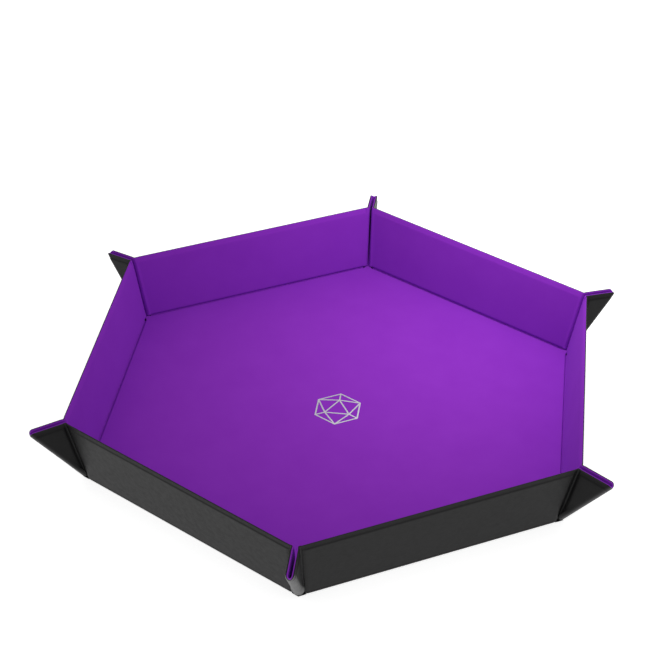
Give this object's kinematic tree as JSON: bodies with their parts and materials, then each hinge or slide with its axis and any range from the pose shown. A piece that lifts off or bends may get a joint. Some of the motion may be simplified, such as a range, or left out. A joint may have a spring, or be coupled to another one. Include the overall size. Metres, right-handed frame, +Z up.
{
  "type": "folding dice tray",
  "caption": "Hexagonal fold-flat dice tray: a lined stiff floor, leaning side walls on fold lines, and slotted corner ears held by magnets.",
  "frame": {"origin": "centre of the floor's underside, on the table, with the walls raised", "axes": "+Z up; two corners of the hexagon lie on the Y axis, front at -Y and back at +Y; flat sides face +X and -X"},
  "size_m": [0.3288, 0.3762, 0.0444],
  "materials": {
    "shell": "matte black grained faux leather",
    "lining": "violet microfibre, short nap",
    "board": "plain grey paperboard",
    "stiffener": "plain grey paperboard",
    "magnet": "nickel-plated, satin",
    "foil": "silver foil print"
  },
  "bodies": {
    "tray_floor": {"floor_shell": "shell", "floor_board": "board", "floor_lining": "lining", "floor_mark": "foil"},
    "wall_1": {"wall_1_shell": "shell", "wall_1_board": "board", "wall_1_lining": "lining"},
    "wall_2": {"wall_2_shell": "shell", "wall_2_board": "board", "wall_2_lining": "lining"},
    "wall_3": {"wall_3_shell": "shell", "wall_3_board": "board", "wall_3_lining": "lining"},
    "wall_4": {"wall_4_shell": "shell", "wall_4_board": "board", "wall_4_lining": "lining"},
    "wall_5": {"wall_5_shell": "shell", "wall_5_board": "board", "wall_5_lining": "lining"},
    "wall_6": {"wall_6_shell": "shell", "wall_6_board": "board", "wall_6_lining": "lining"},
    "gusset_1a": {"gusset_1a_cover": "shell", "gusset_1a_stiffener": "stiffener", "gusset_1a_magnet": "magnet"},
    "gusset_1b": {"gusset_1b_cover": "shell", "gusset_1b_stiffener": "stiffener", "gusset_1b_magnet": "magnet"},
    "gusset_2a": {"gusset_2a_cover": "shell", "gusset_2a_stiffener": "stiffener", "gusset_2a_magnet": "magnet"},
    "gusset_2b": {"gusset_2b_cover": "shell", "gusset_2b_stiffener": "stiffener", "gusset_2b_magnet": "magnet"},
    "gusset_3a": {"gusset_3a_cover": "shell", "gusset_3a_stiffener": "stiffener", "gusset_3a_magnet": "magnet"},
    "gusset_3b": {"gusset_3b_cover": "shell", "gusset_3b_stiffener": "stiffener", "gusset_3b_magnet": "magnet"},
    "gusset_4a": {"gusset_4a_cover": "shell", "gusset_4a_stiffener": "stiffener", "gusset_4a_magnet": "magnet"},
    "gusset_4b": {"gusset_4b_cover": "shell", "gusset_4b_stiffener": "stiffener", "gusset_4b_magnet": "magnet"},
    "gusset_5a": {"gusset_5a_cover": "shell", "gusset_5a_stiffener": "stiffener", "gusset_5a_magnet": "magnet"},
    "gusset_5b": {"gusset_5b_cover": "shell", "gusset_5b_stiffener": "stiffener", "gusset_5b_magnet": "magnet"},
    "gusset_6a": {"gusset_6a_cover": "shell", "gusset_6a_stiffener": "stiffener", "gusset_6a_magnet": "magnet"},
    "gusset_6b": {"gusset_6b_cover": "shell", "gusset_6b_stiffener": "stiffener", "gusset_6b_magnet": "magnet"}
  },
  "joints": [
    {"name": "wall_1_fold", "type": "hinge", "parent": "tray_floor", "child": "wall_1", "pos_m": [0.13947, 0, 0.0011], "axis": [0, 1, 0], "range_deg": [0, 79.1]},
    {"name": "wall_2_fold", "type": "hinge", "parent": "tray_floor", "child": "wall_2", "pos_m": [0.06974, 0.12079, 0.0011], "axis": [-0.866, 0.5, 0], "range_deg": [0, 79.1]},
    {"name": "wall_3_fold", "type": "hinge", "parent": "tray_floor", "child": "wall_3", "pos_m": [-0.06974, 0.12079, 0.0011], "axis": [-0.866, -0.5, 0], "range_deg": [0, 79.1]},
    {"name": "wall_4_fold", "type": "hinge", "parent": "tray_floor", "child": "wall_4", "pos_m": [-0.13947, 0, 0.0011], "axis": [0, -1, 0], "range_deg": [0, 79.1]},
    {"name": "wall_5_fold", "type": "hinge", "parent": "tray_floor", "child": "wall_5", "pos_m": [-0.06974, -0.12079, 0.0011], "axis": [0.866, -0.5, 0], "range_deg": [0, 79.1]},
    {"name": "wall_6_fold", "type": "hinge", "parent": "tray_floor", "child": "wall_6", "pos_m": [0.06974, -0.12079, 0.0011], "axis": [0.866, 0.5, 0], "range_deg": [0, 79.1]},
    {"name": "gusset_1a_fold", "type": "hinge", "parent": "wall_1", "child": "gusset_1a", "pos_m": [0.14362, 0.08073, 0.02266], "axis": [0.188, 0.1085, 0.9762], "range_deg": [0, 60.62]},
    {"name": "gusset_1b_fold", "type": "hinge", "parent": "wall_1", "child": "gusset_1b", "pos_m": [0.14362, -0.08073, 0.02266], "axis": [-0.188, 0.1085, -0.9762], "range_deg": [0, 60.62]},
    {"name": "gusset_2a_fold", "type": "hinge", "parent": "wall_2", "child": "gusset_2a", "pos_m": [0.0019, 0.16475, 0.02266], "axis": [0, 0.2171, 0.9762], "range_deg": [0, 60.62]},
    {"name": "gusset_2b_fold", "type": "hinge", "parent": "wall_2", "child": "gusset_2b", "pos_m": [0.14172, 0.08402, 0.02266], "axis": [-0.188, -0.1085, -0.9762], "range_deg": [0, 60.62]},
    {"name": "gusset_3a_fold", "type": "hinge", "parent": "wall_3", "child": "gusset_3a", "pos_m": [-0.14172, 0.08402, 0.02266], "axis": [-0.188, 0.1085, 0.9762], "range_deg": [0, 60.62]},
    {"name": "gusset_3b_fold", "type": "hinge", "parent": "wall_3", "child": "gusset_3b", "pos_m": [-0.0019, 0.16475, 0.02266], "axis": [0, -0.2171, -0.9762], "range_deg": [0, 60.62]},
    {"name": "gusset_4a_fold", "type": "hinge", "parent": "wall_4", "child": "gusset_4a", "pos_m": [-0.14362, -0.08073, 0.02266], "axis": [-0.188, -0.1085, 0.9762], "range_deg": [0, 60.62]},
    {"name": "gusset_4b_fold", "type": "hinge", "parent": "wall_4", "child": "gusset_4b", "pos_m": [-0.14362, 0.08073, 0.02266], "axis": [0.188, -0.1085, -0.9762], "range_deg": [0, 60.62]},
    {"name": "gusset_5a_fold", "type": "hinge", "parent": "wall_5", "child": "gusset_5a", "pos_m": [-0.0019, -0.16475, 0.02266], "axis": [0, -0.2171, 0.9762], "range_deg": [0, 60.62]},
    {"name": "gusset_5b_fold", "type": "hinge", "parent": "wall_5", "child": "gusset_5b", "pos_m": [-0.14172, -0.08402, 0.02266], "axis": [0.188, 0.1085, -0.9762], "range_deg": [0, 60.62]},
    {"name": "gusset_6a_fold", "type": "hinge", "parent": "wall_6", "child": "gusset_6a", "pos_m": [0.14172, -0.08402, 0.02266], "axis": [0.188, -0.1085, 0.9762], "range_deg": [0, 60.62]},
    {"name": "gusset_6b_fold", "type": "hinge", "parent": "wall_6", "child": "gusset_6b", "pos_m": [0.0019, -0.16475, 0.02266], "axis": [0, 0.2171, -0.9762], "range_deg": [0, 60.62]}
  ],
  "couplings": [
    {"joint": "wall_2_fold", "follows": "wall_1_fold", "ratio": 1},
    {"joint": "wall_3_fold", "follows": "wall_1_fold", "ratio": 1},
    {"joint": "wall_4_fold", "follows": "wall_1_fold", "ratio": 1},
    {"joint": "wall_5_fold", "follows": "wall_1_fold", "ratio": 1},
    {"joint": "wall_6_fold", "follows": "wall_1_fold", "ratio": 1},
    {"joint": "gusset_1a_fold", "follows": "wall_1_fold", "ratio": 0.76606},
    {"joint": "gusset_1b_fold", "follows": "wall_1_fold", "ratio": 0.76606},
    {"joint": "gusset_2a_fold", "follows": "wall_1_fold", "ratio": 0.76606},
    {"joint": "gusset_2b_fold", "follows": "wall_1_fold", "ratio": 0.76606},
    {"joint": "gusset_3a_fold", "follows": "wall_1_fold", "ratio": 0.76606},
    {"joint": "gusset_3b_fold", "follows": "wall_1_fold", "ratio": 0.76606},
    {"joint": "gusset_4a_fold", "follows": "wall_1_fold", "ratio": 0.76606},
    {"joint": "gusset_4b_fold", "follows": "wall_1_fold", "ratio": 0.76606},
    {"joint": "gusset_5a_fold", "follows": "wall_1_fold", "ratio": 0.76606},
    {"joint": "gusset_5b_fold", "follows": "wall_1_fold", "ratio": 0.76606},
    {"joint": "gusset_6a_fold", "follows": "wall_1_fold", "ratio": 0.76606},
    {"joint": "gusset_6b_fold", "follows": "wall_1_fold", "ratio": 0.76606}
  ]
}
